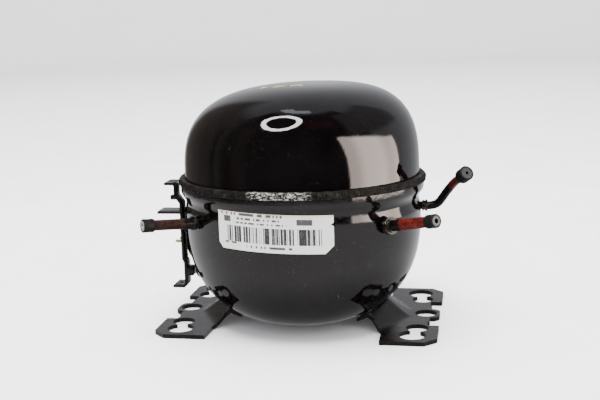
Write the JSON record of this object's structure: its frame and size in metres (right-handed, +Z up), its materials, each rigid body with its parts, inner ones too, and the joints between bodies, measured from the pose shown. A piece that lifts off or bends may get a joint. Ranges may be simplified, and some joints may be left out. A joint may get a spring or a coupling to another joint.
{
  "type": "hermetic reciprocating compressor",
  "caption": "Welded-shell refrigeration compressor on two sheet-metal feet, with capped connector tubes, a pin terminal and a spring-hung motor and piston pump inside.",
  "frame": {"origin": "on the floor under the middle of the overall box, feet's undersides at z = 0", "axes": "+X from the terminal's side to the process tube's side, +Y to the back, away from the label, +Z up along the crankshaft"},
  "size_m": [0.2286, 0.17, 0.1732],
  "materials": {
    "black_gloss_paint": "glossy black baked paint on pressed steel",
    "black_satin_paint": "semi-gloss black paint, thin on edges",
    "weld_bead": "rough rippled weld with patchy paint and scale",
    "copper": "reddish copper, partly oxidised",
    "rubber": "matte moulded black rubber",
    "brass": "plated terminal pin, satin",
    "steel": "plain machined steel",
    "cast_iron": "as-cast grey iron with oil film",
    "lamination": "stacked electrical steel sheets",
    "enamelled_wire": "varnished copper wire",
    "aluminium": "die-cast aluminium",
    "plastic": "pale moulded plastic",
    "label_paper": "matte off-white film label",
    "gasket": "fibre gasket sheet"
  },
  "bodies": {
    "housing": {"lower_shell": "black_gloss_paint", "upper_shell": "black_gloss_paint", "seam_weld": "weld_bead", "foot_left": "black_satin_paint", "foot_right": "black_satin_paint", "suction_tube": "copper", "process_tube": "copper", "discharge_tube": "copper", "suction_collar": "black_satin_paint", "process_collar": "black_satin_paint", "discharge_collar": "black_satin_paint", "terminal_cup": "steel", "terminal_pin_common": "brass", "terminal_pin_start": "brass", "terminal_pin_run": "brass", "terminal_connector": "plastic", "terminal_bracket": "black_satin_paint", "label_plate": "label_paper", "spring_stud_rear_right": "steel", "spring_stud_rear_left": "steel", "spring_stud_front_left": "steel", "spring_stud_front_right": "steel"},
    "motor_compressor": {"stator_core": "lamination", "winding_upper": "enamelled_wire", "winding_lower": "enamelled_wire", "stator_bolt_rear_right": "steel", "stator_bolt_rear_left": "steel", "stator_bolt_front_left": "steel", "stator_bolt_front_right": "steel", "spring_rear_right": "steel", "spring_rear_left": "steel", "spring_front_left": "steel", "spring_front_right": "steel", "cylinder_block": "cast_iron", "head_gasket": "gasket", "valve_plate": "steel", "cylinder_head": "aluminium", "head_bolt_front_lower": "steel", "head_bolt_front_upper": "steel", "head_bolt_rear_lower": "steel", "head_bolt_rear_upper": "steel", "suction_muffler": "plastic", "discharge_muffler": "steel", "discharge_loop": "copper", "motor_lead": "plastic"},
    "crankshaft": {"crankshaft": "cast_iron", "rotor_core": "lamination", "rotor_ring_upper": "aluminium", "rotor_ring_lower": "aluminium", "oil_pickup": "steel"},
    "piston": {"piston": "aluminium", "wrist_pin": "steel", "connecting_rod": "aluminium"},
    "suction_reed": {"suction_reed": "steel"},
    "discharge_reed": {"discharge_reed": "steel"},
    "suction_cap": {"suction_cap": "rubber"},
    "process_cap": {"process_cap": "rubber"},
    "discharge_cap": {"discharge_cap": "rubber"}
  },
  "joints": [
    {"name": "suspension_bounce", "type": "slide", "parent": "housing", "child": "motor_compressor", "axis": [0, 0, 1], "range_m": [-0.002, 0.002], "stiffness_N_per_m": 20000, "springref_m": 0.00205, "deforming": ["spring_rear_right", "spring_rear_left", "spring_front_left", "spring_front_right", "discharge_loop", "motor_lead"]},
    {"name": "crank_turn", "type": "hinge", "parent": "motor_compressor", "child": "crankshaft", "pos_m": [-0.009, 0, 0.103], "axis": [0, 0, 1], "range_deg": [-45, 45]},
    {"name": "piston_slide", "type": "slide", "parent": "motor_compressor", "child": "piston", "axis": [1, 0, 0], "range_m": [-0.0055, 0.0055]},
    {"name": "suction_reed_flex", "type": "hinge", "parent": "motor_compressor", "child": "suction_reed", "pos_m": [0.0484, 0.0046, 0.1155], "axis": [0, -1, 0], "range_deg": [0, 6], "stiffness_Nm_per_rad": 0.05},
    {"name": "discharge_reed_flex", "type": "hinge", "parent": "motor_compressor", "child": "discharge_reed", "pos_m": [0.0524, -0.0046, 0.1155], "axis": [0, 1, 0], "range_deg": [0, 6], "stiffness_Nm_per_rad": 0.05},
    {"name": "suction_cap_pull", "type": "slide", "parent": "housing", "child": "suction_cap", "axis": [-0.752, -0.6537, 0.0854], "range_m": [0, 0.015]},
    {"name": "process_cap_pull", "type": "slide", "parent": "housing", "child": "process_cap", "axis": [0.7241, -0.652, 0.2249], "range_m": [0, 0.015]},
    {"name": "discharge_cap_pull", "type": "slide", "parent": "housing", "child": "discharge_cap", "axis": [0.4564, -0.757, 0.4676], "range_m": [0, 0.015]}
  ],
  "couplings": [
    {"joint": "piston_slide", "follows": "crank_turn", "m_per_rad": 0.0068}
  ]
}
